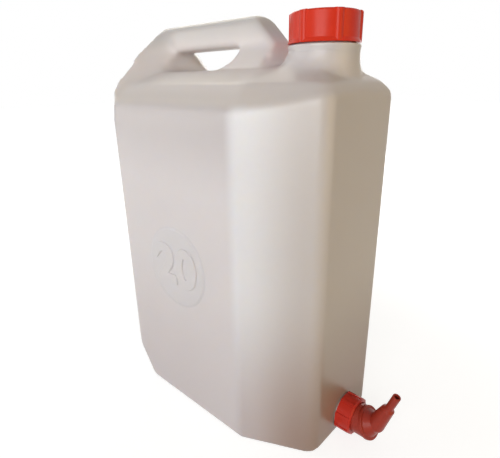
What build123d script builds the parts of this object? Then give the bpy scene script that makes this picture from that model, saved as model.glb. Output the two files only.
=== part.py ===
from build123d import *
import math
import os

# Carboy with a swivel spigot, in millimetres
# +X points at the spigot, +Z is up, the origin is the middle of the base on the floor

# Moulded body
body_length = 302.0
body_depth = 205.0
shoulder_height = 420.0
wall = 2.2
facet_run = 82.0
facet_inset = 39.0
rear_corner_radius = 14.0
front_corner_radius = 18.0
crease_radius = 8.0
base_radius = 4.0
heel_run = 38.0
heel_rise = 57.0
heel_radius = 16.0

# Leaning band and low roof that close the top of the body
band_drop = 26.0
band_front_drop = 10.0
band_lean = 40.0
band_radius = 11.0
brow_radius = 7.0
roof_rise = 14.0
roof_half_width = 44.0
roof_front_half_width = 32.0
roof_front_reach = 20.0
roof_corner_radius = 12.0

# Handle
hole_height = 24.0
grip_thickness = 32.0
hole_rear_wall = 33.0
handle_to_neck = 50.0
handle_slope_run = 31.0
handle_slope_fall = 31.0
handle_post_length = 20.0
grip_half_width = 17.0
grip_crown_half_width = 9.0
grip_crown_rise = 7.0
hole_floor_half_width = 42.0
gable_drop = 9.0
gable_waist_half_width = 54.0
gable_waist_drop = 33.0
hole_radius = 5.0
hole_front_radius = 18.0
handle_end_radius = 10.0

# Round panel on the broad side, with its rim
panel_radius = 53.5
panel_rise = 0.8
panel_x = -35.0
panel_height = 205.0

# Neck and cap
neck_to_front = 50.5
bell_foot_radius = 46.0
bell_set_back = 9.0
bell_rise = 27.0
collar_radius = 36.0
collar_rise = 35.0
collar_edge = 2.0
neck_radius = 30.2
neck_bore_radius = 26.5
neck_length = 24.0
thread_room = 0.8
seal_thickness = 2.0
seal_clearance = 0.5
cap_wall = 3.6
cap_top_thickness = 3.0
cap_edge = 2.0
cap_rim_height = 4.0
cap_rim_reach = 2.0
cap_lift_gap = 1.0
cap_rib_count = 6
cap_rib_turn = 25.0
cap_rib_radius = 5.0
cap_rib_height = 1.8
cap_dish_depth = 1.0
cap_dish_margin = 6.0

# Outlet neck and union nut
outlet_height = 27.0
outlet_radius = 20.3
outlet_bore_radius = 14.0
outlet_length = 14.0
gasket_thickness = 2.0
gasket_bore_radius = 14.5
nut_gap = 2.5
nut_wall = 2.2
nut_lip = 3.2
nut_bevel = 1.8
nut_rib_count = 8
nut_rib_width = 4.0
nut_rib_height = 1.0
nut_clearance = 0.5

# Spigot body and swivel spout
tap_flange_thickness = 3.0
tap_radius = 18.3
tap_bore_radius = 10.0
seat_reach = 19.5
seat_tilt = 28.0
seat_clearance = 0.05
journal_radius = 11.0
journal_clearance = 0.06
journal_length = 13.0
journal_bore_radius = 7.8
journal_bore_reach = 10.0
port_plate = 2.4
port_radius = 3.2
port_offset = 4.4
web_thickness = 3.0
ring_section_radius = 0.9
ring_from_seat = 5.0
ring_clearance = 0.05
disc_radius = 20.0
disc_thickness = 4.0
disc_edge = 1.2
spout_root_radius = 17.5
elbow_radius = 11.0
elbow_reach = 11.6
spout_bend = 43.0
shank_radius = 7.0
shank_out = 23.9
shank_up = 36.7
shank_trim = 1.0
nozzle_radius = 4.8
nozzle_length = 21.5
nozzle_edge = 0.8
nozzle_bore_radius = 3.2
nozzle_bore_depth = 40.0

# Places worked out from the sizes above
front_x = body_length / 2
rear_x = -body_length / 2
half_depth = body_depth / 2
crease_x = front_x - facet_run
front_y = half_depth - facet_inset
beyond_rear = rear_x - body_length
band_foot = shoulder_height - band_drop
band_front = shoulder_height - band_front_drop
hole_floor = shoulder_height + roof_rise
hole_top = hole_floor + hole_height
handle_top = hole_top + grip_thickness
neck_x = front_x - neck_to_front
slope_end_x = neck_x - handle_to_neck
handle_top_front = slope_end_x - handle_slope_run
hole_front = handle_top_front - handle_post_length
hole_rear = rear_x + hole_rear_wall
collar_top = shoulder_height + collar_rise
neck_top = collar_top + neck_length
seal_top = neck_top + seal_thickness
cap_top = seal_top + cap_top_thickness
cap_bore_radius = neck_radius + thread_room
cap_bottom = collar_top + cap_lift_gap
cap_radius = cap_bore_radius + cap_wall
seal_radius = cap_bore_radius - seal_clearance
outlet_end = front_x + outlet_length
tap_start = outlet_end + gasket_thickness
flange_front = tap_start + tap_flange_thickness
nut_bore_radius = outlet_radius + nut_clearance
nut_radius = nut_bore_radius + nut_wall
nut_hole_radius = tap_radius + nut_clearance
nut_back = front_x + nut_gap
nut_front = flange_front + nut_lip

seat_origin = Vector(tap_start + seat_reach, 0, outlet_height)
seat_axis = Vector(math.cos(math.radians(seat_tilt)), 0, math.sin(math.radians(seat_tilt)))
seat_plane = Plane(origin=seat_origin, x_dir=(0, 1, 0), z_dir=seat_axis)


def two_sided(half, flip=False):
    """A closed face from the points of one half and their mirror images."""
    sign = (-1, 1) if flip else (1, -1)
    other = [(x * sign[0], y * sign[1]) for x, y in reversed(half)]
    return make_face(Polyline(*half, *other, close=True))


def inset_face(face, inset):
    if inset == 0:
        return face
    return offset(face, amount=-inset, kind=Kind.INTERSECTION)


def across(face):
    """A side view run through the whole depth of the body."""
    return extrude(Plane.XZ * face, amount=body_depth, both=True)


def rod(radius, start, end):
    """A round bar along X at the outlet's height."""
    plane = Plane(origin=(start, 0, outlet_height), x_dir=(0, 1, 0), z_dir=(1, 0, 0))
    return extrude(plane * Circle(radius), amount=end - start)


def post(radius, bottom, top):
    """A round bar along Z on the neck's axis."""
    return Pos(neck_x, 0, bottom) * extrude(Circle(radius), amount=top - bottom)


# Moulded body, made once for the outside and once smaller by the wall for the inside

def soft_front(face, corner_radius):
    """Rounds the two front corners and then the two creases of a six-sided plan."""
    face = fillet(face.vertices().group_by(Axis.X)[-1], corner_radius)
    return fillet(face.vertices().sort_by(Axis.X)[2:4], crease_radius)


def plan_outline(rear):
    half = [(rear, half_depth), (crease_x, half_depth), (front_x, front_y)]
    return soft_front(two_sided(half), front_corner_radius)


def heel_outline():
    """Side view with the sloping heel under the rear wall."""
    heel_x = rear_x + heel_run
    points = [(rear_x, heel_rise), (heel_x, 0), (front_x, 0), (front_x, handle_top), (rear_x, handle_top)]
    side = make_face(Polyline(*points, close=True))
    turns = side.vertices().sort_by_distance((rear_x, 0))[:2]
    return fillet(turns, heel_radius)


def meeting(first, second):
    """Where two plan lines meet, each given by its normal's angle and its distance from the origin."""
    a, reach_a = first
    b, reach_b = second
    turn = math.sin(b - a)
    x = (reach_a * math.sin(b) - reach_b * math.sin(a)) / turn
    y = (reach_b * math.cos(a) - reach_a * math.cos(b)) / turn
    return x, y


def band_ring(level, inset):
    """Outline of the leaning band at a level, drawn in by the inset."""
    slope = math.tan(math.radians(band_lean))
    gap = inset / math.cos(math.radians(band_lean))
    climb = (band_front - band_foot) * slope / math.hypot(facet_run, facet_inset)
    facet_turn = math.acos(-climb) - math.atan2(facet_inset, facet_run)
    facet_reach = front_x * math.cos(facet_turn) + front_y * math.sin(facet_turn)
    front_gap = (level - band_front) * slope + gap
    rear_side = (math.pi, -beyond_rear)
    broad_side = (math.pi / 2, half_depth - (level - band_foot) * slope - gap)
    facet_side = (facet_turn, facet_reach - front_gap)
    front_side = (0, front_x - front_gap)
    sides = [rear_side, broad_side, facet_side, front_side]
    half = [meeting(one, other) for one, other in zip(sides, sides[1:])]
    return Pos(0, 0, level) * soft_front(two_sided(half), front_corner_radius)


def roof_ring(inset):
    width = roof_half_width - inset
    front = (neck_x + roof_front_reach - inset, roof_front_half_width - inset)
    half = [(beyond_rear, width), (neck_x - roof_front_reach, width), front]
    return Pos(0, 0, hole_floor - inset) * soft_front(two_sided(half), roof_corner_radius)


def hood(inset):
    """Band and roof over a plan that runs on beyond the rear, so that their edges can be rounded."""
    low = band_foot - band_drop
    brow = shoulder_height - inset * math.tan(math.radians(band_lean / 2))
    cover = loft([band_ring(low, inset), band_ring(brow, inset)])
    cover += loft([band_ring(brow, inset), roof_ring(inset)])
    brow_edges = [edge for edge in cover.edges() if abs(edge.center().Z - brow) < 0.01]
    cover = fillet(brow_edges, brow_radius - inset)
    plan = Pos(0, 0, low) * inset_face(plan_outline(beyond_rear / 2), inset)
    top = extrude(plan, amount=hole_floor - low) & cover
    foot_edges = top.edges().filter_by_position(Axis.Z, band_foot - wall, band_front)
    top = fillet([edge for edge in foot_edges if edge.center().X > beyond_rear / 2], band_radius - inset)
    bottom = extrude(Pos(0, 0, inset) * inset_face(plan_outline(beyond_rear / 2), inset), amount=low - inset)
    rim = bottom.edges().group_by(Axis.Z)[0].sort_by(Axis.X)[1:]
    return fillet(rim, base_radius - inset) + top


def bell(inset):
    """The foot of the neck, spreading backwards into the roof."""
    foot = Pos(neck_x - bell_set_back, 0, shoulder_height - inset) * Circle(bell_foot_radius - inset)
    throat = Pos(neck_x, 0, shoulder_height + bell_rise) * Circle(collar_radius - inset)
    return loft([foot, throat])


def handle_sections():
    """The narrow section along the grip and the wide gable at the rear wall."""
    crown = handle_top - grip_crown_rise
    waist = handle_top - gable_waist_drop
    grip = [(hole_floor_half_width, band_foot), (hole_floor_half_width, hole_floor),
            (grip_half_width, hole_top), (grip_half_width, crown), (grip_crown_half_width, handle_top)]
    crown_step = (gable_waist_half_width - grip_crown_half_width) * grip_crown_rise / gable_waist_drop
    gable = [(half_depth, band_foot), (half_depth, shoulder_height - gable_drop),
             (gable_waist_half_width, waist), (grip_crown_half_width + crown_step, crown),
             (grip_crown_half_width, handle_top)]
    return two_sided(grip, flip=True), two_sided(gable, flip=True)


def handle_side():
    points = [(rear_x, band_foot), (rear_x, handle_top), (handle_top_front, handle_top),
              (slope_end_x, handle_top - handle_slope_fall), (slope_end_x, band_foot)]
    side = make_face(Polyline(*points, close=True))
    return fillet(side.vertices().group_by(Axis.Y)[-1], handle_end_radius)


def finger_hole(inset):
    """The hole through the handle, with a wide sweep at its lower front corner."""
    low_front = (hole_front, hole_floor)
    corners = [(hole_rear, hole_floor), low_front, (hole_front, hole_top), (hole_rear, hole_top)]
    hole = make_face(Polyline(*corners, close=True))
    corner = hole.vertices().sort_by_distance(low_front)
    hole = fillet(corner[0], hole_front_radius)
    square = [v for v in hole.vertices() if min(math.dist((v.X, v.Y), c) for c in corners) < 0.01]
    hole = fillet(square, hole_radius)
    return across(offset(hole, amount=inset) if inset else hole)


def handle(inset):
    grip, gable = handle_sections()
    rear_end = Plane(origin=(rear_x + inset, 0, 0), x_dir=(0, 1, 0), z_dir=(1, 0, 0))
    grip_start = Plane(origin=(hole_rear, 0, 0), x_dir=(0, 1, 0), z_dir=(1, 0, 0))
    grip_face = grip_start * inset_face(grip, inset)
    shape = loft([rear_end * inset_face(gable, inset), grip_face], ruled=True)
    shape += extrude(grip_face, amount=slope_end_x - hole_rear)
    return shape & across(inset_face(handle_side(), inset))


def body_form(inset):
    """The moulded shape, drawn in by the inset all round."""
    plan = plan_outline(rear_x)
    plan = fillet(plan.vertices().group_by(Axis.X)[0], rear_corner_radius)
    tall = extrude(inset_face(plan, inset), amount=handle_top)
    shape = hood(inset) + bell(inset) + handle(inset)
    return (shape & tall & across(inset_face(heel_outline(), inset))) - finger_hole(inset)


outside = body_form(0)
inside = body_form(wall)
collar = post(collar_radius, hole_floor, collar_top)
collar = fillet(collar.edges().group_by(Axis.Z)[-1], collar_edge)
panel_plane = Plane(origin=(panel_x, -half_depth, panel_height), x_dir=(1, 0, 0), z_dir=(0, -1, 0))
panel = panel_plane * Circle(panel_radius)
carboy_body = outside + collar + post(neck_radius, collar_top - wall, neck_top)
carboy_body += rod(outlet_radius, front_x - wall, outlet_end)
carboy_body += extrude(panel, amount=panel_rise, taper=45)
carboy_body -= inside + post(collar_radius - wall, hole_floor - wall, collar_top - wall)
carboy_body -= post(neck_bore_radius, hole_floor, neck_top)
carboy_body -= rod(outlet_bore_radius, front_x - 2 * wall, outlet_end)

# Screw cap and its sealing disc

def cap_turning(radius):
    """The cap's turned outline at a radius, with a soft upper edge."""
    solid = post(radius, cap_bottom, cap_top)
    return fillet(solid.edges().group_by(Axis.Z)[-1], cap_edge)


def cap_rim():
    reach = cap_radius + cap_rim_reach
    side = make_face(Polyline((0, cap_bottom), (reach, cap_bottom), (cap_radius, cap_bottom + cap_rim_height),
                              (0, cap_bottom + cap_rim_height), close=True))
    return Pos(neck_x, 0, 0) * revolve(Plane.XZ * side, Axis.Z)


rib_centre = cap_radius + cap_rib_height - cap_rib_radius
rib_turns = [cap_rib_turn + 360 / cap_rib_count * i for i in range(cap_rib_count)]
cap_ribs = [Pos(neck_x, 0, cap_bottom) * Rot(0, 0, turn) * Pos(rib_centre, 0) * Circle(cap_rib_radius)
            for turn in rib_turns]
ribbing = extrude(Sketch() + cap_ribs, amount=cap_top - cap_bottom)
cap = cap_turning(cap_radius) + cap_rim() + (ribbing & cap_turning(cap_radius + cap_rib_height))
cap -= post(cap_radius - cap_dish_margin, cap_top - cap_dish_depth, cap_top)
cap -= post(cap_bore_radius, cap_bottom, seal_top)
cap_seal = post(seal_radius, neck_top, seal_top)

# Union nut and gasket

def nut_blank():
    blank = rod(nut_radius, nut_back, nut_front)
    blank = chamfer(blank.edges().group_by(Axis.X)[-1], nut_bevel)
    rib_reach = nut_radius + nut_rib_height
    length = nut_front - nut_back - nut_bevel
    bar = Pos(nut_back + length / 2, 0, rib_reach / 2) * Box(length, nut_rib_width, rib_reach)
    for i in range(nut_rib_count):
        blank += Pos(0, 0, outlet_height) * Rot(360 / nut_rib_count * (i + 0.5), 0, 0) * bar
    return blank


spigot_nut = nut_blank()
spigot_nut -= rod(nut_bore_radius, nut_back, flange_front)
spigot_nut -= rod(nut_hole_radius, nut_back, nut_front)
spigot_gasket = rod(outlet_radius, outlet_end, tap_start)
spigot_gasket -= rod(gasket_bore_radius, outlet_end, tap_start)

# Spigot body with its slanted seat, socket and off-centre port

def on_seat(along, up=0):
    """A plane parallel to the seat, shifted along the swivel axis and up the slope."""
    return seat_plane.offset(along) * Pos(0, -up)


def seat_rod(radius, start, end, up=0):
    return extrude(on_seat(start, up) * Circle(radius), amount=end - start)


def past(along):
    """Everything beyond a plane parallel to the seat."""
    size = 4 * disc_radius
    return extrude(on_seat(along) * Rectangle(size, size), amount=size)


web_back = -journal_length - web_thickness
spigot_body = rod(tap_radius, tap_start, seat_origin.X + tap_radius) - past(0)
spigot_body += rod(outlet_radius, tap_start, flange_front)
spigot_body -= rod(tap_bore_radius, tap_start, seat_origin.X) - past(web_back)
spigot_body -= seat_rod(journal_radius + journal_clearance, -journal_length, journal_length)
spigot_body -= seat_rod(port_radius, web_back, 0, -port_offset)

# Swivel spout, shown shut with the nozzle up

def taper_bar(start, start_radius, end, end_radius):
    """A round bar that tapers from one point to another."""
    direction = end - start
    plane = Plane(origin=start, x_dir=(0, 1, 0), z_dir=direction)
    return plane * Pos(0, 0, direction.length / 2) * Cone(start_radius, end_radius, direction.length)


nozzle_angle = math.radians(seat_tilt + spout_bend)
shank_origin = seat_origin + Vector(shank_out, 0, shank_up)
nozzle_axis = Vector(math.cos(nozzle_angle), 0, math.sin(nozzle_angle))
shank_plane = Plane(origin=shank_origin, x_dir=(0, 1, 0), z_dir=nozzle_axis)
elbow = seat_origin + seat_axis * elbow_reach
disc = seat_rod(disc_radius, seat_clearance, disc_thickness)
disc = fillet(disc.edges().sort_by(Axis(seat_origin, seat_axis))[-1], disc_edge)
nozzle = extrude(shank_plane * Circle(nozzle_radius), amount=nozzle_length)
nozzle = fillet(nozzle.edges().sort_by(Axis(shank_origin, nozzle_axis))[-1], nozzle_edge)
journal = seat_rod(journal_radius, -journal_length + seat_clearance, disc_thickness)
ring_radius = journal_radius - ring_section_radius
groove_half = ring_section_radius + ring_clearance
groove = seat_rod(2 * journal_radius, -ring_from_seat - groove_half, -ring_from_seat + groove_half)
groove -= seat_rod(ring_radius - groove_half, -journal_length, 0)
root = seat_origin + seat_axis * (disc_thickness - disc_edge)
spigot_spout = disc + journal + taper_bar(root, spout_root_radius, elbow, elbow_radius)
spigot_spout += Pos(elbow) * Sphere(elbow_radius)
shank_end = shank_origin + (shank_origin - elbow).normalized() * shank_trim
shank = taper_bar(elbow, elbow_radius, shank_end, shank_radius)
shoulder_depth = (shank_end - elbow).length + elbow_radius
shoulder = Cone(nozzle_radius + shoulder_depth, nozzle_radius, shoulder_depth)
shank &= shank_plane * Pos(0, 0, -shoulder_depth / 2) * shoulder
spigot_spout += shank + nozzle
spigot_spout -= groove
spigot_spout -= seat_rod(journal_bore_radius, port_plate - journal_length, journal_bore_reach)
spigot_spout -= seat_rod(port_radius, -journal_length, 0, port_offset)
spigot_spout -= extrude(shank_plane.offset(-nozzle_bore_depth) * Circle(nozzle_bore_radius),
                        amount=nozzle_bore_depth + nozzle_length)
spout_o_ring = on_seat(-ring_from_seat) * Torus(ring_radius, ring_section_radius)

nodes = {
    "carboy_body": carboy_body,
    "cap": cap,
    "cap_seal": cap_seal,
    "spigot_nut": spigot_nut,
    "spigot_gasket": spigot_gasket,
    "spigot_body": spigot_body,
    "spigot_spout": spigot_spout,
    "spout_o_ring": spout_o_ring,
}
os.makedirs("parts", exist_ok=True)
for name, shape in nodes.items():
    export_step(shape, f"parts/{name}.step")
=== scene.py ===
import math
import bmesh
import bpy
from mathutils import Matrix, Vector


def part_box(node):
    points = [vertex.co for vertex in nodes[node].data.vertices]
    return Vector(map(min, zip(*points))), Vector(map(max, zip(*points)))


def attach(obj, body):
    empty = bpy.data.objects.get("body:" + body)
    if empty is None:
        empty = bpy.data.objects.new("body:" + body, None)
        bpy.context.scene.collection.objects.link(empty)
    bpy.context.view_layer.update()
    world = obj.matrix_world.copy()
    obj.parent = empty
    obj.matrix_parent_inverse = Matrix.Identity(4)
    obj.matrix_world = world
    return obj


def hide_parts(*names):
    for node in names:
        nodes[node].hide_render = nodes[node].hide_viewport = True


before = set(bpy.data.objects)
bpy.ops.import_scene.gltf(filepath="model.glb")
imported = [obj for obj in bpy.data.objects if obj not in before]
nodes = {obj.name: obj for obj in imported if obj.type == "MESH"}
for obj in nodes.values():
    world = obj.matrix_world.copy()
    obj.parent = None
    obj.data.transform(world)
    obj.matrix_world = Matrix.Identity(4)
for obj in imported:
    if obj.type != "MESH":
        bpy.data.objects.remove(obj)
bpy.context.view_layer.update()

mm = 0.001
touch = 0.05 * mm    # a point this near to a plane lies in it
weld = 0.001 * mm    # points this near to each other are one
scene = bpy.context.scene


# A shader value that can be reckoned with
class Wire:
    def __init__(self, tree, socket=None):
        self.tree = tree
        self.socket = socket

    def node(self, kind, settings=None, inputs=None, output=0):
        made = self.tree.nodes.new(kind)
        for name, value in (settings or {}).items():
            setattr(made, name, value)
        for name, value in (inputs or {}).items():
            if isinstance(value, Wire):
                self.tree.links.new(value.socket, made.inputs[name])
            else:
                made.inputs[name].default_value = value
        return Wire(self.tree, made.outputs[output])

    def reckon(self, operation, first, second):
        if self.socket.type == "VALUE":
            return self.node("ShaderNodeMath", {"operation": operation}, {0: first, 1: second})
        if self.socket.type == "VECTOR":
            return self.node("ShaderNodeVectorMath", {"operation": operation}, {0: first, 1: second})
        settings = {"data_type": "RGBA", "blend_type": operation}
        return self.node("ShaderNodeMix", settings, {0: 1.0, 6: first, 7: second}, 2)

    def __add__(self, other):
        return self.reckon("ADD", self, other)

    def __radd__(self, other):
        return self.reckon("ADD", other, self)

    def __sub__(self, other):
        return self.reckon("SUBTRACT", self, other)

    def __rsub__(self, other):
        return self.reckon("SUBTRACT", other, self)

    def __mul__(self, other):
        return self.reckon("MULTIPLY", self, other)

    def __rmul__(self, other):
        return self.reckon("MULTIPLY", other, self)

    def between(self, low, high):    # a colour between two, by this value
        return self.node("ShaderNodeMix", {"data_type": "RGBA"}, {0: self, 6: low, 7: high}, 2)

    def into(self, socket):
        self.tree.links.new(self.socket, socket)


def newMaterial(name):
    material = bpy.data.materials.new(name)
    material.use_nodes = True
    shader = material.node_tree.nodes["Principled BSDF"]
    place = Wire(material.node_tree).node("ShaderNodeTexCoord", output="Object")
    return material, shader, place


def noise(place, size, detail=2.0, roughness=0.5):
    inputs = {"Vector": place, "Scale": 1 / size, "Detail": detail, "Roughness": roughness}
    return place.node("ShaderNodeTexNoise", inputs=inputs)


def axis(place, letter):
    return place.node("ShaderNodeSeparateXYZ", inputs={0: place}, output=letter)


def ramp(value, reach):    # eases from 0 to 1 over the reach
    inputs = {0: value, 1: reach[0], 2: reach[1]}
    return value.node("ShaderNodeMapRange", {"interpolation_type": "SMOOTHSTEP"}, inputs)


def bump(place, height, look):
    inputs = {"Height": height, "Strength": look["bump"], "Distance": look["bumpDepth"]}
    return place.node("ShaderNodeBump", inputs=inputs)


# Milky plastic of the can, with a soft cloudy tone of its own and painted light and shade laid on each wall
def naturalPlastic():
    look = {
        "thick": (0.765, 0.72, 0.712, 1), "thin": (0.825, 0.783, 0.776, 1), "plain": (1, 1, 1, 1),
        "cloud": 90 * mm, "cloudShare": 0.7,
        "fleck": 7 * mm, "fleckDetail": 4, "fleckRough": 0.6, "fleckShare": 0.3,
        "grain": 1.1 * mm, "grainRise": 0.25, "fleckRise": 0.6, "bump": 0.16, "bumpDepth": 0.6 * mm,
        "rough": 0.28, "roughMore": 0.14,
        "scatter": 0.35, "scatterRadius": (9 * mm, 7 * mm, 5 * mm), "scatterScale": 1.0,
        # along the can: crease of the broad side, then cut corner to front wall
        "crease": (54 * mm, 72 * mm), "facet": (72 * mm, 140 * mm),
        # painted light and shade: the cut corner lit bluish by its crease, fading to a shaded front wall
        "facetLit": (1.02, 1.06, 1.10, 1), "facetDim": (0.75, 0.725, 0.70, 1),
        # up the can: foot, upper wall, brow, roof and grip
        # painted shade: each wall darker towards the foot, most on the front wall
        "foot": (0, 230 * mm), "footShadeBroad": (0.85, 0.82, 0.82, 1),
        "footShadeFacet": (0.68, 0.60, 0.58, 1), "footShadeFront": (0.58, 0.44, 0.38, 1),
        # painted shade: the upper broad wall darker towards the shoulder
        "upper": (300 * mm, 398 * mm), "broad": (0.93, 0.915, 0.925, 1), "broadTopShade": (0.71, 0.69, 0.695, 1),
        # painted shade along the brow under the roof
        "brow": (394 * mm, 404 * mm), "browShade": (0.83, 0.80, 0.76, 1),
        # painted shade: the roof darker towards its front
        "roof": (405 * mm, 430 * mm), "roofRear": (0.98, 0.96, 0.95, 1), "roofFrontShade": (0.82, 0.80, 0.80, 1),
        # painted shade on the handle grip
        "grip": (455 * mm, 482 * mm), "gripShade": (0.76, 0.76, 0.75, 1),
    }
    material, shader, place = newMaterial("naturalPlastic")
    cloud = noise(place, look["cloud"])
    fleck = noise(place, look["fleck"], look["fleckDetail"], look["fleckRough"])
    along = axis(place, "X")
    height = axis(place, "Z")
    forward = ramp(along, look["crease"])    # 0 on the broad side, 1 past its crease
    towardsFront = ramp(along, look["facet"])    # 0 at the crease, 1 on the front wall

    # painted shade on the broad side, darker towards its top
    broad = ramp(height, look["upper"]).between(look["broad"], look["broadTopShade"])
    # painted light on the cut corner, painted shade towards the front wall
    facet = towardsFront.between(look["facetLit"], look["facetDim"])
    foot = forward.between(look["footShadeBroad"], towardsFront.between(look["footShadeFacet"], look["footShadeFront"]))
    brow = towardsFront.between(look["browShade"], look["facetDim"])
    roof = forward.between(look["roofRear"], look["roofFrontShade"])
    # broad side and cut corner tones, with painted shade fading out up from the foot
    wall = forward.between(broad, facet) * ramp(height, look["foot"]).between(foot, look["plain"])
    # painted shade on the brow
    wall = ramp(height, look["brow"]).between(wall, brow)
    # painted shade on the roof's front
    wall = ramp(height, look["roof"]).between(wall, roof)
    # painted shade on the handle grip
    wall = ramp(height, look["grip"]).between(wall, look["gripShade"])

    # random cloudy tone of the plastic itself, times the painted light and shade of each wall
    tone = (cloud * look["cloudShare"] + fleck * look["fleckShare"]).between(look["thick"], look["thin"])
    (tone * wall).into(shader.inputs["Base Color"])
    (look["rough"] + fleck * look["roughMore"]).into(shader.inputs["Roughness"])
    skin = noise(place, look["grain"]) * look["grainRise"] + fleck * look["fleckRise"]
    bump(place, skin, look).into(shader.inputs["Normal"])
    shader.inputs["Subsurface Weight"].default_value = look["scatter"]
    shader.inputs["Subsurface Radius"].default_value = look["scatterRadius"]
    shader.inputs["Subsurface Scale"].default_value = look["scatterScale"]
    return material


def mouldedRed(name, dark, light):
    look = {
        "cloud": 22 * mm, "cloudShare": 0.6, "fleck": 2.5 * mm, "fleckDetail": 3, "fleckShare": 0.4,
        "grain": 0.5 * mm, "grainRise": 0.4, "fleckRise": 0.6, "bump": 0.12, "bumpDepth": 0.3 * mm,
        "rough": 0.27, "roughMore": 0.14, "specular": 0.18, "coat": 0.05, "coatRough": 0.15,
    }
    material, shader, place = newMaterial(name)
    cloud = noise(place, look["cloud"])
    fleck = noise(place, look["fleck"], look["fleckDetail"])
    tone = (cloud * look["cloudShare"] + fleck * look["fleckShare"]).between(dark, light)
    tone.into(shader.inputs["Base Color"])
    (look["rough"] + cloud * look["roughMore"]).into(shader.inputs["Roughness"])
    skin = noise(place, look["grain"]) * look["grainRise"] + fleck * look["fleckRise"]
    bump(place, skin, look).into(shader.inputs["Normal"])
    shader.inputs["Specular IOR Level"].default_value = look["specular"]
    shader.inputs["Coat Weight"].default_value = look["coat"]
    shader.inputs["Coat Roughness"].default_value = look["coatRough"]
    return material


def softSeal(name, dark, light, cell):
    look = {"detail": 3, "rough": 0.7, "roughMore": 0.2, "bump": 0.3, "bumpDepth": 0.2 * mm}
    material, shader, place = newMaterial(name)
    foam = noise(place, cell, look["detail"])
    foam.between(dark, light).into(shader.inputs["Base Color"])
    (look["rough"] + foam * look["roughMore"]).into(shader.inputs["Roughness"])
    bump(place, foam, look).into(shader.inputs["Normal"])
    return material


materials = {
    "natural_plastic": naturalPlastic(),
    "red_cap": mouldedRed("redCap", (0.62, 0.026, 0.008, 1), (0.74, 0.040, 0.012, 1)),
    "red_nut": mouldedRed("redNut", (0.50, 0.026, 0.014, 1), (0.62, 0.038, 0.021, 1)),
    # spigot body and spout: the nut's red plastic, painted darker as shade
    "red_spigot": mouldedRed("redSpigotShaded", (0.31, 0.032, 0.018, 1), (0.41, 0.044, 0.026, 1)),
    "seal_foam": softSeal("sealFoam", (0.62, 0.60, 0.56, 1), (0.74, 0.73, 0.70, 1), 1.2 * mm),
    "gasket_rubber": softSeal("gasketRubber", (0.018, 0.018, 0.019, 1), (0.035, 0.034, 0.033, 1), 0.8 * mm),
}
dressed = {
    "cap": "red_cap", "cap_seal": "seal_foam",
    "spigot_nut": "red_nut", "spigot_body": "red_spigot", "spigot_spout": "red_spigot",
    "spigot_gasket": "gasket_rubber", "spout_o_ring": "gasket_rubber",
}
for name, slot in dressed.items():
    nodes[name].data.materials.clear()
    nodes[name].data.materials.append(materials[slot])
print("materials:", len(materials))


def addPiece(mesh, name, sharp):    # edges sharper than this angle stay sharp
    data = bpy.data.meshes.new(name)
    mesh.to_mesh(data)
    mesh.free()
    data.shade_smooth()
    data.set_sharp_from_angle(angle=math.radians(sharp))
    data.materials.append(materials["natural_plastic"])
    piece = bpy.data.objects.new(name, data)
    scene.collection.objects.link(piece)
    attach(piece, "carboy")
    return piece


def settled(source):    # the mesh of a text or of an object with modifiers
    scene.collection.objects.link(source)
    graph = bpy.context.evaluated_depsgraph_get()
    mesh = bmesh.new()
    mesh.from_mesh(bpy.data.meshes.new_from_object(source.evaluated_get(graph)))
    bpy.data.objects.remove(source)
    return mesh


# Places on the moulded body, read from the frame
bodyMesh = nodes["carboy_body"].data
sealLow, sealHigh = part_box("cap_seal")
gasketLow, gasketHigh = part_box("spigot_gasket")
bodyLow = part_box("carboy_body")[0]
neckAxis = (sealLow + sealHigh) / 2
neckTop = sealLow.z
neckReach = 45 * mm    # the neck's end lies within this of its axis
outletAxis = (gasketLow + gasketHigh) / 2
outletEnd = gasketLow.x


def atNeckEnd(p):
    return abs(p.z - neckTop) < touch and (p - neckAxis).length < neckReach


def atOutletEnd(p):
    return abs(p.x - outletEnd) < touch


def ringRadii(points, centre):
    reach = [(point - centre).length for point in points]
    return min(reach), max(reach)


bodyPoints = [v.co for v in bodyMesh.vertices]
neckBore, neckRadius = ringRadii([p.xy for p in bodyPoints if atNeckEnd(p)], neckAxis.xy)
outletBore, outletRadius = ringRadii([p.yz for p in bodyPoints if atOutletEnd(p)], outletAxis.yz)
panelRing = [p for p in bodyPoints if p.y - bodyLow.y < touch]
panelLow = Vector((min(p.x for p in panelRing), bodyLow.y, min(p.z for p in panelRing)))
panelHigh = Vector((max(p.x for p in panelRing), bodyLow.y, max(p.z for p in panelRing)))
print("neck radii in mm:", round(neckBore / mm, 1), round(neckRadius / mm, 1))
print("outlet radii in mm:", round(outletBore / mm, 1), round(outletRadius / mm, 1))


# Blown skin: the body's outer surface, softened as blow moulding leaves it
blown = {
    "voxel": 2.6 * mm, "soften": 6, "ease": 0.5, "sharp": 80,
    "neckCut": neckTop - 28 * mm, "neckClear": 42 * mm, "outletCut": outletEnd - 13 * mm,
    "band": 372 * mm, "brow": 414 * mm, "roof": 434 * mm, "crease": 55 * mm,
    "handleAbove": 6 * mm, "handleBehindNeck": 40 * mm, "handleTimes": 10,
    "shoulderStart": 22 * mm, "shoulderOut": 70 * mm, "shoulderTimes": 60,
    "rearDeep": 48 * mm, "rearAboveBand": 8 * mm, "rearAboveRoof": 14 * mm, "rearTimes": 24,
    "neckFootReach": 62 * mm, "neckFootBelow": 8 * mm, "neckFootStop": 3 * mm, "neckFootTimes": 40,
}


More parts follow.
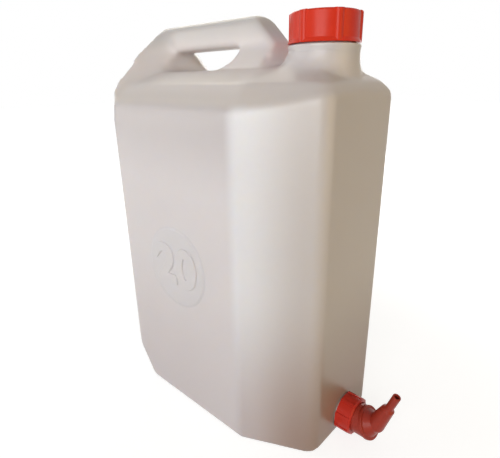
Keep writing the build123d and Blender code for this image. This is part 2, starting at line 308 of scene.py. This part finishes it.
def outerSkin():
    mesh = bmesh.new()
    mesh.from_mesh(bodyMesh)
    bmesh.ops.remove_doubles(mesh, verts=mesh.verts, dist=weld)
    rims = [f for f in mesh.faces
            if all(atNeckEnd(v.co) for v in f.verts) or all(atOutletEnd(v.co) for v in f.verts)]
    bmesh.ops.delete(mesh, geom=rims, context="FACES_ONLY")
    # with the rims gone, what hangs together with the highest point is the outside
    reached = {max(mesh.verts, key=lambda v: v.co.z)}
    edge = list(reached)
    while edge:
        near = {e.other_vert(v) for v in edge for e in v.link_edges if e.link_faces}
        edge = list(near - reached)
        reached |= near
    bmesh.ops.delete(mesh, geom=[v for v in mesh.verts if v not in reached], context="VERTS")
    bmesh.ops.holes_fill(mesh, edges=[e for e in mesh.edges if e.is_boundary], sides=0)
    return mesh


def softened(mesh):
    data = bpy.data.meshes.new("skinSource")
    mesh.to_mesh(data)
    mesh.free()
    source = bpy.data.objects.new("skinSource", data)
    remesh = source.modifiers.new("remesh", "REMESH")
    remesh.mode = "VOXEL"
    remesh.voxel_size = blown["voxel"]
    smooth = source.modifiers.new("soften", "SMOOTH")
    smooth.factor = blown["ease"]
    smooth.iterations = blown["soften"]
    return settled(source)


def cutOpen(mesh, point, normal, reaches):
    everything = mesh.verts[:] + mesh.edges[:] + mesh.faces[:]
    bmesh.ops.bisect_plane(mesh, geom=everything, plane_co=point, plane_no=normal, dist=weld)
    beyond = [f for f in mesh.faces if (f.calc_center_median() - point).dot(normal) > 0
              and reaches(f.calc_center_median())]
    bmesh.ops.delete(mesh, geom=beyond, context="FACES")


# Places where the mould runs softer: handle, shoulder, rear edge and the foot of the neck
def onHandle(p):
    return p.z > blown["roof"] + blown["handleAbove"] and p.x < neckAxis.x - blown["handleBehindNeck"]


def onShoulder(p):
    along = bodyLow.x + blown["shoulderStart"] < p.x < blown["crease"]
    return along and abs(p.y) > blown["shoulderOut"] and blown["band"] < p.z < blown["brow"]


def onRearEdge(p):
    low = blown["band"] + blown["rearAboveBand"]
    high = blown["roof"] + blown["rearAboveRoof"]
    return p.x < bodyLow.x + blown["rearDeep"] and low < p.z < high


def onNeckFoot(p):
    low = blown["roof"] - blown["neckFootBelow"]
    high = blown["neckCut"] - blown["neckFootStop"]
    return (p - neckAxis).xy.length < blown["neckFootReach"] and low < p.z < high


def easeZone(mesh, inside, times):
    chosen = [v for v in mesh.verts if inside(v.co)]
    for _ in range(times):
        bmesh.ops.smooth_vert(mesh, verts=chosen, factor=blown["ease"],
                              use_axis_x=True, use_axis_y=True, use_axis_z=True)


skin = softened(outerSkin())
easeZone(skin, onHandle, blown["handleTimes"])
easeZone(skin, onShoulder, blown["shoulderTimes"])
easeZone(skin, onRearEdge, blown["rearTimes"])
easeZone(skin, onNeckFoot, blown["neckFootTimes"])
cutOpen(skin, Vector((0, 0, blown["neckCut"])), Vector((0, 0, 1)),
        lambda p: (p - neckAxis).xy.length < blown["neckClear"])
cutOpen(skin, Vector((blown["outletCut"], 0, 0)), Vector((1, 0, 0)), lambda p: True)
blownSkin = addPiece(skin, "blownSkin", blown["sharp"])
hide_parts("carboy_body")
print("blown skin:", len(blownSkin.data.polygons), "faces")


# Turned pieces: profiles are pairs of radius and height
turned = {"segments": 96, "threadSteps": 72, "threadFade": 12, "threadSunk": 0.3 * mm, "sharp": 50}


def lathe(profile, place):
    mesh = bmesh.new()
    count = turned["segments"]
    turns = [2 * math.pi * i / count for i in range(count)]
    rings = []
    for radius, height in profile:
        points = [Vector((radius * math.cos(t), radius * math.sin(t), height)) for t in turns]
        rings.append([mesh.verts.new(place @ p) for p in points])
    for ring, after in zip(rings, rings[1:] + rings[:1]):
        for i in range(count):
            j = (i + 1) % count
            mesh.faces.new((ring[i], ring[j], after[j], after[i]))
    bmesh.ops.remove_doubles(mesh, verts=mesh.verts, dist=weld)
    bmesh.ops.recalc_face_normals(mesh, faces=mesh.faces)
    return mesh


def screwThread(radius, thread, place):
    mesh = bmesh.new()
    steps, sunk = turned["threadSteps"], turned["threadSunk"]
    count = int(thread["turns"] * steps)
    foot, crest = thread["width"] / 2, thread["width"] / 5
    rows = []
    for i in range(count + 1):
        angle = 2 * math.pi * i / steps
        fade = min(1.0, i / turned["threadFade"], (count - i) / turned["threadFade"])    # runs in and out
        top = radius + thread["rise"] * fade
        middle = thread["start"] + thread["pitch"] * i / steps
        section = [(radius - sunk, -foot), (top, -crest), (top, crest), (radius - sunk, foot)]
        points = [Vector((r * math.cos(angle), r * math.sin(angle), middle + z)) for r, z in section]
        rows.append([mesh.verts.new(place @ p) for p in points])
    for row, after in zip(rows, rows[1:]):
        for i in range(len(row) - 1):
            mesh.faces.new((row[i], row[i + 1], after[i + 1], after[i]))
    bmesh.ops.recalc_face_normals(mesh, faces=mesh.faces)
    return mesh


# Neck: bore, lip, thread and a rounded bead round the collar
neck = {
    "collar": 36 * mm, "collarTop": neckTop - 24 * mm, "lip": 0.7 * mm, "root": 1.2 * mm, "wall": 2 * mm,
    "low": neckTop - 40 * mm, "ledge": 3 * mm, "skirt": 8 * mm,
    # out and up from the collar's edge, in mm
    "bead": ((-1.6, 0), (0.1, -0.7), (0.5, -2), (0.2, -3.2), (0, -4.2)), "taper": 0.1 * mm,
    "thread": {"rise": 0.55 * mm, "width": 3 * mm, "start": neckTop - 19 * mm, "pitch": 6 * mm,
               "turns": 2.4},
}
neckPlace = Matrix.Translation((neckAxis.x, neckAxis.y, 0))


def neckProfile():
    collar, top, lip, wall = neck["collar"], neck["collarTop"], neck["lip"], neck["wall"]
    bore = [(neckBore, neck["low"]), (neckBore, neckTop - lip), (neckBore + lip, neckTop)]
    outside = [(neckRadius - lip, neckTop), (neckRadius, neckTop - lip), (neckRadius, top + neck["root"]),
               (neckRadius + neck["root"], top)]
    bead = [(collar + out * mm, top + up * mm) for out, up in neck["bead"]]
    skirt = [(collar - neck["taper"], top - neck["skirt"]), (collar - wall, top - neck["skirt"])]
    inside = [(collar - wall, top - neck["ledge"]), (neckBore + wall, top - neck["ledge"]),
              (neckBore + wall, neck["low"])]
    return bore + outside + bead + skirt + inside


addPiece(lathe(neckProfile(), neckPlace), "neckFinish", turned["sharp"])
addPiece(screwThread(neckRadius, neck["thread"], neckPlace), "neckThread", turned["sharp"])

# Outlet: bore, lip, thread and a flare into the front wall
outlet = {
    "lip": 0.6 * mm, "root": outletEnd - 14.5 * mm, "wall": 2 * mm, "deep": 8 * mm, "skirt": 1 * mm,
    "flare": 1.4 * mm, "flareStart": 2.5 * mm, "flareMiddle": 1.2 * mm, "flareShare": 0.4,
    "thread": {"rise": 0.35 * mm, "width": 2 * mm, "start": outletEnd - 9.5 * mm, "pitch": 4 * mm,
               "turns": 1.8},
}
outletPlace = Matrix.Translation((0, outletAxis.y, outletAxis.z)) @ Matrix.Rotation(math.radians(90), 4, "Y")


def outletProfile():
    root, lip, flare, wall = outlet["root"], outlet["lip"], outlet["flare"], outlet["wall"]
    bore = [(outletBore, root - outlet["deep"]), (outletBore, outletEnd - lip), (outletBore + lip, outletEnd)]
    outside = [(outletRadius - lip, outletEnd), (outletRadius, outletEnd - lip),
               (outletRadius, root + outlet["flareStart"]),
               (outletRadius + outlet["flareShare"] * flare, root + outlet["flareMiddle"]),
               (outletRadius + flare, root), (outletRadius + flare, root - outlet["skirt"])]
    inside = [(outletBore + wall, root - outlet["skirt"]), (outletBore + wall, root - outlet["deep"])]
    return bore + outside + inside


addPiece(lathe(outletProfile(), outletPlace), "outletTube", turned["sharp"])
addPiece(screwThread(outletRadius, outlet["thread"], outletPlace), "outletThread", turned["sharp"])
print("neck and outlet turned")

# Round panel with a raised number
panel = {"rise": 0.8 * mm, "slope": 4 * mm, "sink": 1.6 * mm, "steps": 8, "sharp": 60}
number = {
    "text": "20", "height": 47 * mm, "heightShare": 0.7,    # of the type size
    "stretch": 1.12, "bold": 2.0 * mm, "rise": 0.2 * mm, "round": 1.3 * mm, "roundSteps": 2,
}
panelPlace = Matrix.Translation((panelLow + panelHigh) / 2) @ Matrix.Rotation(math.radians(90), 4, "X")


def softDisc():
    rise, slope, sink = panel["rise"], panel["slope"], panel["sink"]
    flat = (panelHigh.x - panelLow.x) / 2 - slope
    profile = [(0, rise), (flat, rise)]
    for step in range(1, panel["steps"] + 1):
        part = step / panel["steps"]
        fall = (rise + sink) * (0.5 - 0.5 * math.cos(math.pi * part))
        profile.append((flat + 2 * slope * part, rise - fall))
    return lathe(profile + [(0, -sink)], panelPlace)


def raisedNumber():
    curve = bpy.data.curves.new("raisedNumber", "FONT")
    curve.body = number["text"]
    curve.size = number["height"] / number["heightShare"]
    curve.align_x = "CENTER"
    curve.align_y = "CENTER"
    curve.offset = number["bold"]
    curve.extrude = number["rise"]
    curve.bevel_depth = number["round"]
    curve.bevel_resolution = number["roundSteps"]
    mesh = settled(bpy.data.objects.new("raisedNumber", curve))
    lift = Matrix.Translation((0, 0, panel["rise"]))
    mesh.transform(panelPlace @ lift @ Matrix.Diagonal((number["stretch"], 1, 1, 1)))
    return mesh


addPiece(softDisc(), "roundPanel", panel["sharp"])
addPiece(raisedNumber(), "raisedNumber", panel["sharp"])
print("number raised")

# Studio: pale floor, soft lights and a white surround, in metres and watts
studio = {
    "floor": 8.0, "floorTone": (0.35, 0.35, 0.35, 1), "floorDark": (0.33, 0.33, 0.33, 1), "floorCloud": 0.5,
    "floorRough": 0.9, "floorGlow": (0.8, 0.8, 0.8, 1), "glowReach": (0.25, 0.7),
    "white": (1, 1, 1, 1), "black": (0, 0, 0, 1), "glow": 1.0,
    "coolSide": (0.05, 0.05, 0.05, 1), "warmSide": (0.10, 0.08, 0.06, 1),
    "lampSize": 1.2, "target": (0, 0, 0.25),
}
lights = {
    "keyLight": {"place": (0.7, -1.8, 0.75), "power": 25, "colour": (0.97, 0.99, 1)},
    "leftLight": {"place": (-1.5, -1.3, 0.7), "power": 10.5, "colour": (1, 0.96, 0.9)},
    "rearLight": {"place": (-1.2, 0.9, 1.5), "power": 7.5, "colour": (1, 0.95, 0.8)},
    "backLight": {"place": (-0.9, 2.0, 0.5), "power": 14, "colour": (1, 0.98, 0.95)},
    "rightLight": {"place": (1.7, 0.1, 0.5), "power": 6.5, "colour": (1, 0.68, 0.15)},
}


def seen(tree):    # 1 for what the camera sees, directly or in a gloss or a clear wall
    path = Wire(tree).node("ShaderNodeLightPath", output="Is Camera Ray")
    for kind in ("Is Glossy Ray", "Is Transmission Ray"):
        path = path + path.node("ShaderNodeLightPath", output=kind)
    return path


def paleFloor():
    mesh = bmesh.new()
    bmesh.ops.create_grid(mesh, x_segments=1, y_segments=1, size=studio["floor"])
    data = bpy.data.meshes.new("floor")
    mesh.to_mesh(data)
    mesh.free()
    floor = bpy.data.objects.new("floor", data)
    scene.collection.objects.link(floor)
    material, shader, place = newMaterial("paleFloor")
    tone = noise(place, studio["floorCloud"]).between(studio["floorDark"], studio["floorTone"])
    tone.into(shader.inputs["Base Color"])
    shader.inputs["Roughness"].default_value = studio["floorRough"]
    away = place.node("ShaderNodeVectorMath", {"operation": "LENGTH"}, {0: place}, "Value")
    glow = ramp(away, studio["glowReach"]).between(studio["floorGlow"], studio["white"])
    seen(material.node_tree).between(studio["black"], glow).into(shader.inputs["Emission Color"])
    shader.inputs["Emission Strength"].default_value = studio["glow"]
    data.materials.append(material)


def softLight(name, light):
    lamp = bpy.data.lights.new(name, "AREA")
    lamp.shape = "RECTANGLE"
    lamp.size = studio["lampSize"]
    lamp.size_y = studio["lampSize"]
    lamp.energy = light["power"]
    lamp.color = light["colour"]
    holder = bpy.data.objects.new(name, lamp)
    holder.location = light["place"]
    facing = Vector(studio["target"]) - Vector(light["place"])
    holder.rotation_euler = facing.to_track_quat("-Z", "Y").to_euler()
    scene.collection.objects.link(holder)


def whiteSurround():
    world = bpy.data.worlds.new("studio")
    scene.world = world
    world.use_nodes = True
    background = world.node_tree.nodes["Background"]
    towards = Wire(world.node_tree).node("ShaderNodeTexCoord", output="Generated")
    side = axis(towards, "X") * 0.5 + 0.5    # 0 on the left, 1 on the right
    room = side.between(studio["coolSide"], studio["warmSide"])
    seen(world.node_tree).between(room, studio["white"]).into(background.inputs["Color"])
    background.inputs["Strength"].default_value = studio["glow"]


paleFloor()
for name, light in lights.items():
    softLight(name, light)
whiteSurround()
print("studio set:", len(lights), "lights")

# Camera of the photograph: angles in degrees, focal length and drop in pixels
shot = {
    "place": (0.3478, -0.3844, 0.4224), "pitch": 20.07, "heading": 42.49, "roll": -0.88,
    "focalPixels": 411.1, "imageWidth": 500.0, "sensor": 36.0, "drop": 2.0, "near": 10 * mm,
}
lens = bpy.data.cameras.new("camera")
lens.sensor_width = shot["sensor"]
lens.lens = shot["sensor"] * shot["focalPixels"] / shot["imageWidth"]
lens.shift_y = shot["drop"] / shot["imageWidth"]
lens.clip_start = shot["near"]
camera = bpy.data.objects.new("camera", lens)
turn = Matrix.Rotation(math.radians(shot["heading"]), 4, "Z")
tilt = Matrix.Rotation(math.radians(90 - shot["pitch"]), 4, "X")
roll = Matrix.Rotation(math.radians(shot["roll"]), 4, "Z")
camera.matrix_world = Matrix.Translation(shot["place"]) @ turn @ tilt @ roll
scene.collection.objects.link(camera)
scene.camera = camera
scene.view_settings.view_transform = "Standard"
print("camera set")
